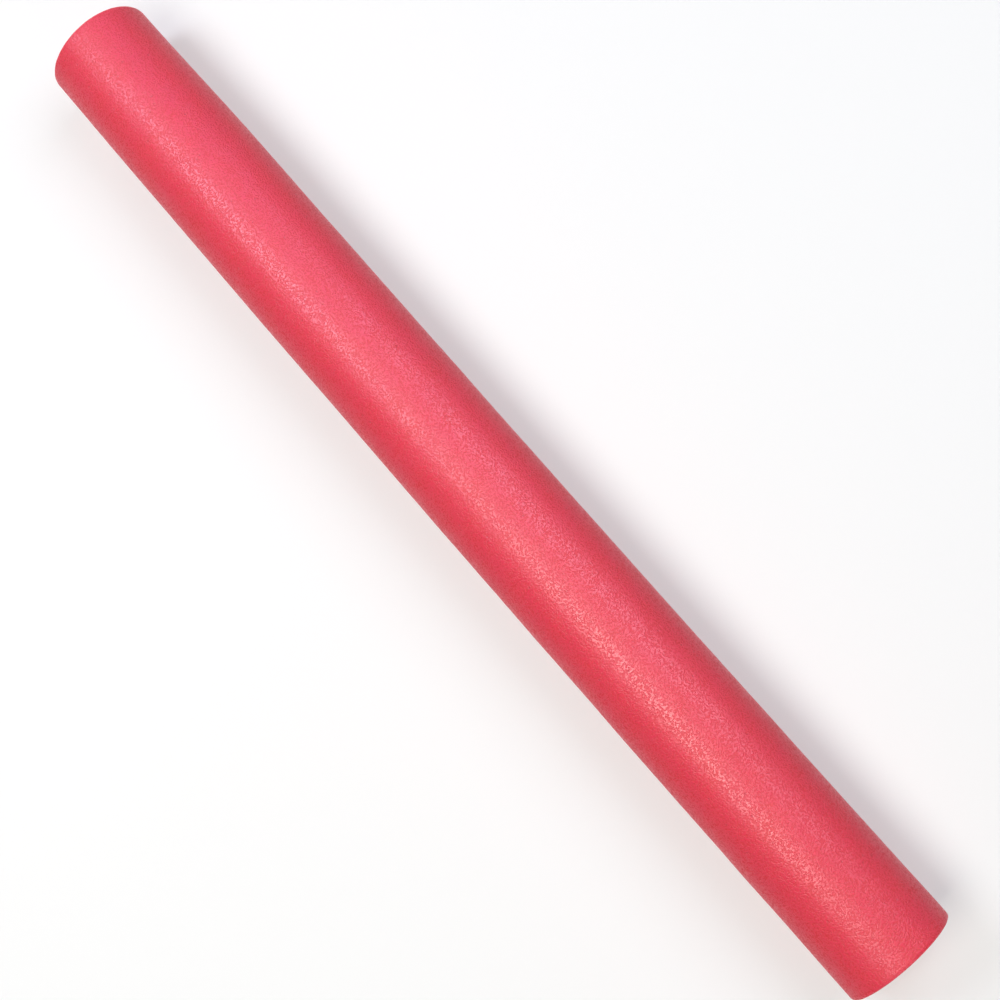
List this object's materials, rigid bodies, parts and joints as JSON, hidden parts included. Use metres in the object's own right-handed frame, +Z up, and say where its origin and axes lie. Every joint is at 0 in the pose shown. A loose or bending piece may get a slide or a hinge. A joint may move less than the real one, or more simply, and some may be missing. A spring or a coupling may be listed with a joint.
{
  "type": "pool noodle",
  "caption": "Soft foam tube with a round hole along its middle and square-cut ends, nearly straight, resting on its side: a float for swimming and water play.",
  "frame": {"origin": "on the floor, under the middle of the tube's box", "axes": "+X along the tube, +Z up from the floor, and both ends of the slight bow lean towards +Y"},
  "size_m": [0.6106, 0.0615, 0.0595],
  "materials": {
    "foam": "extruded closed-cell polyethylene foam, pinkish red, with a fine satin skin outside and open cut cells on both ends"
  },
  "bodies": {
    "root": {"foam_tube": "foam"}
  },
  "joints": []
}
